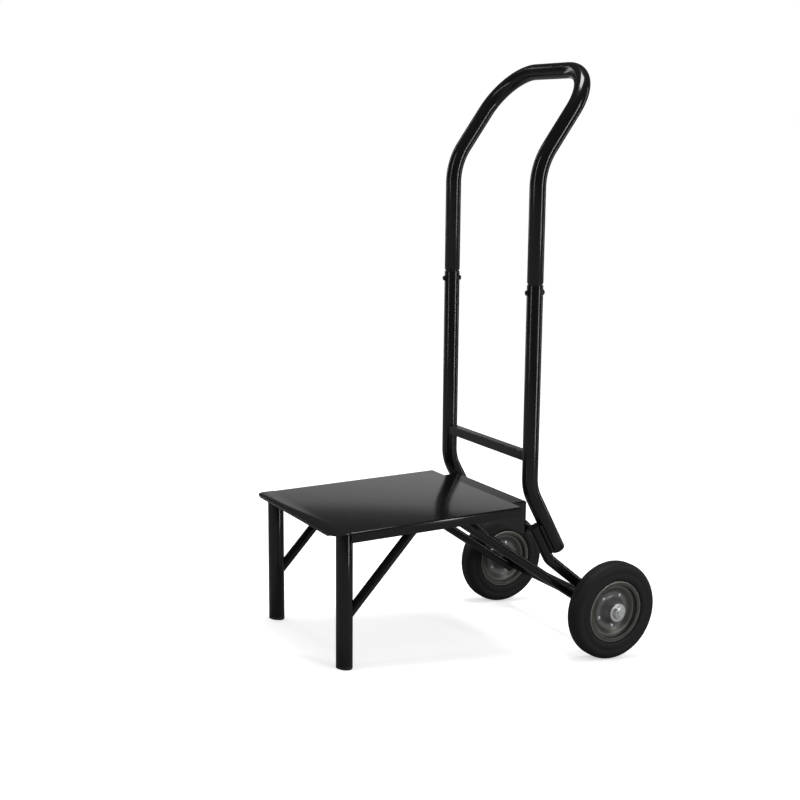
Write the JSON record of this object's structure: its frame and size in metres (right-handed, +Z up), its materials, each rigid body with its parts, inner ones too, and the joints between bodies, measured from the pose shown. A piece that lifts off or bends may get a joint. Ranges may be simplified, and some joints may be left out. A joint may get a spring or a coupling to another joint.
{
  "type": "stacking chair trolley",
  "caption": "Two-wheeled trolley for a stack of chairs: a low sheet platform on tube legs and struts, with tube uprights and a leaning loop handle for tipping and wheeling it.",
  "frame": {"origin": "on the floor below the middle of the bounding box", "axes": "+Z up, front of the platform towards -Y, wheels and handle towards +Y, X across the trolley; it stands on its feet and wheels, with the frame leaning 7 degrees forward"},
  "size_m": [0.4684, 0.7488, 1.1829],
  "materials": {
    "black_powder_coat": "satin",
    "gloss_black_paint": "gloss",
    "black_plastic": "matte",
    "tyre_rubber": "matte",
    "rim_paint": "satin",
    "zinc_plate": "satin"
  },
  "bodies": {
    "frame": {"platform_tray": "gloss_black_paint", "front_leg_left": "black_powder_coat", "front_leg_right": "black_powder_coat", "leg_foot_left": "black_plastic", "leg_foot_right": "black_plastic", "leg_brace_left": "black_powder_coat", "leg_brace_right": "black_powder_coat", "strut_left": "black_powder_coat", "strut_right": "black_powder_coat", "axle_sleeve": "black_powder_coat", "axle_arm_left": "black_powder_coat", "axle_arm_right": "black_powder_coat", "arm_plug_left": "black_plastic", "arm_plug_right": "black_plastic", "rear_rail": "black_powder_coat", "tie_plate": "black_powder_coat", "upright_left": "black_powder_coat", "upright_right": "black_powder_coat", "upright_plug_left": "black_plastic", "upright_plug_right": "black_plastic", "weld_beads": "black_powder_coat", "cross_bar": "black_powder_coat", "handle_loop": "black_powder_coat", "handle_bolts": "zinc_plate", "handle_nuts": "zinc_plate", "axle_rod": "zinc_plate", "inner_washers": "zinc_plate", "outer_washers": "zinc_plate", "axle_nuts": "zinc_plate"},
    "wheel_left": {"tyre_left": "tyre_rubber", "rim_outer_left": "rim_paint", "rim_inner_left": "rim_paint", "rim_rivets_left": "zinc_plate", "hub_tube_left": "rim_paint", "hub_bushes_left": "black_plastic"},
    "wheel_right": {"tyre_right": "tyre_rubber", "rim_outer_right": "rim_paint", "rim_inner_right": "rim_paint", "rim_rivets_right": "zinc_plate", "hub_tube_right": "rim_paint", "hub_bushes_right": "black_plastic"}
  },
  "joints": [
    {"name": "wheel_left_spin", "type": "hinge", "parent": "frame", "child": "wheel_left", "pos_m": [0.20135, 0.27275, 0.1016], "axis": [1, 0, 0], "continuous": true},
    {"name": "wheel_right_spin", "type": "hinge", "parent": "frame", "child": "wheel_right", "pos_m": [-0.20135, 0.27275, 0.1016], "axis": [1, 0, 0], "continuous": true}
  ]
}
